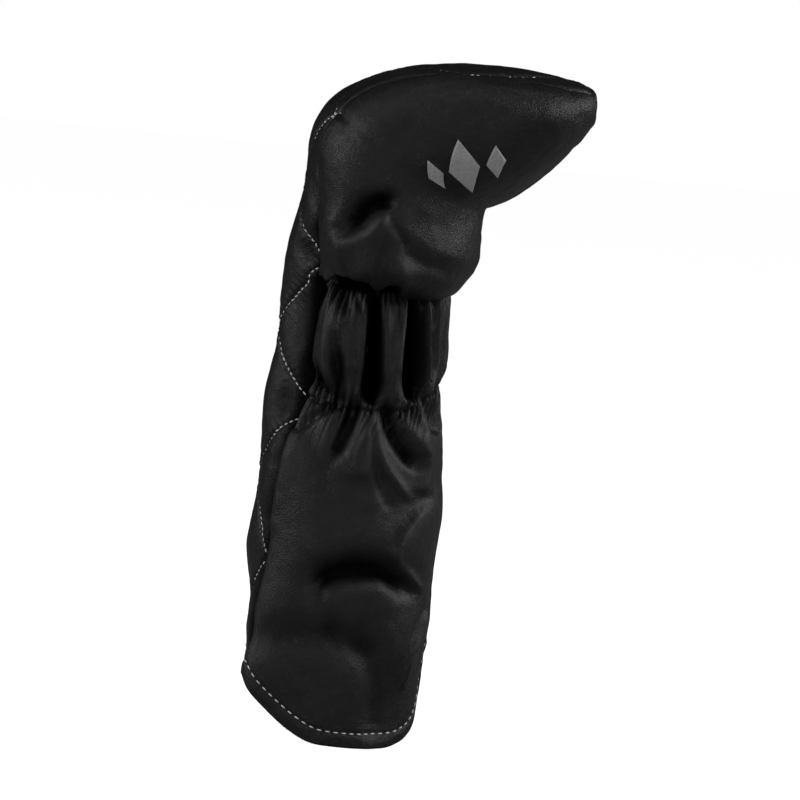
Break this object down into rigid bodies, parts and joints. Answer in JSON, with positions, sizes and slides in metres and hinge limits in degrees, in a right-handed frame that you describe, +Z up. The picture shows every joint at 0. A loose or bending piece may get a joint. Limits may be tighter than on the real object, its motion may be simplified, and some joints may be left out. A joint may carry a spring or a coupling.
{
  "type": "driver head cover",
  "caption": "Soft padded cover that pulls over a golf driver's head, with smooth side panels, a quilted strip over the back and crown, an elastic neck and a curved lined skirt.",
  "frame": {"origin": "on the axis of the club's shaft, half way up the elastic neck", "axes": "+Z up the shaft towards the crown, +X towards the toe of the club head, +Y across the club to the right side panel"},
  "size_m": [0.1611, 0.1206, 0.3534],
  "materials": {
    "smooth_leather": "satin",
    "quilted_leather": "satin",
    "padding": "matte",
    "plush_lining": "matte",
    "elastic_tape": "matte",
    "grey_felt": "matte"
  },
  "bodies": {
    "root": {"left_head_panel": "smooth_leather", "right_head_panel": "smooth_leather", "left_sleeve_panel": "smooth_leather", "right_sleeve_panel": "smooth_leather", "quilted_strip": "quilted_leather", "strip_wadding": "padding", "left_head_padding": "padding", "right_head_padding": "padding", "left_head_lining": "plush_lining", "right_head_lining": "plush_lining", "left_sleeve_lining": "plush_lining", "right_sleeve_lining": "plush_lining", "upper_elastic": "elastic_tape", "lower_elastic": "elastic_tape", "hem_facing": "smooth_leather", "felt_emblem": "grey_felt"}
  },
  "joints": []
}
